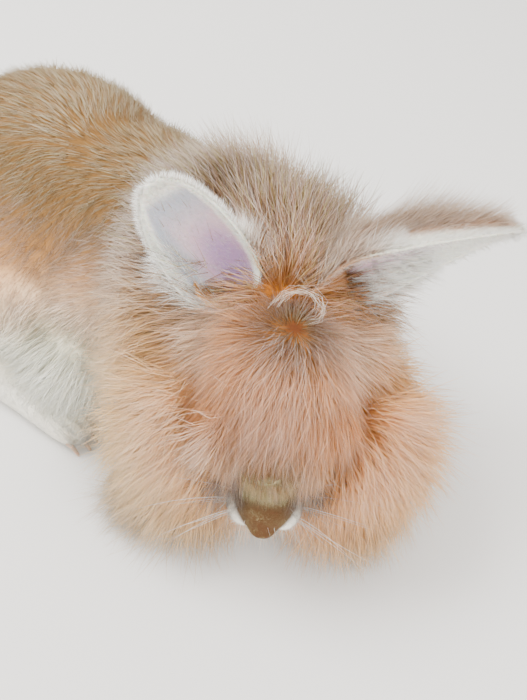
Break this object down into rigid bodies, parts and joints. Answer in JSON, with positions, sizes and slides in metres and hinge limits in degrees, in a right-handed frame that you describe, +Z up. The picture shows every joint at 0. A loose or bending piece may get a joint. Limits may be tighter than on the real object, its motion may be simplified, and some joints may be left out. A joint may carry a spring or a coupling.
{
  "type": "lionhead dwarf rabbit",
  "caption": "Life-size lionhead dwarf rabbit crouching with its head turned, woolly mane round the face, ears held out to the sides.",
  "frame": {"origin": "on the floor, under the middle of the rabbit's bounding box", "axes": "+Z up; the head faces -Y; the body runs back from the head towards -X, so the rabbit's own right side is turned to -Y"},
  "size_m": [0.279, 0.2274, 0.1385],
  "materials": {
    "coat_fawn": "soft matt fur",
    "coat_cream": "soft matt fur",
    "ear_skin": "thin skin with short down",
    "eye": "wet gloss"
  },
  "bodies": {
    "root": {"head": "coat_fawn", "neck": "coat_fawn", "torso": "coat_fawn", "tail": "coat_cream", "hind_leg_right": "coat_cream", "hind_leg_left": "coat_cream", "foreleg_right": "coat_cream", "foreleg_left": "coat_cream", "ear_right": "ear_skin", "ear_left": "ear_skin", "eye_right": "eye", "eye_left": "eye"}
  },
  "joints": []
}
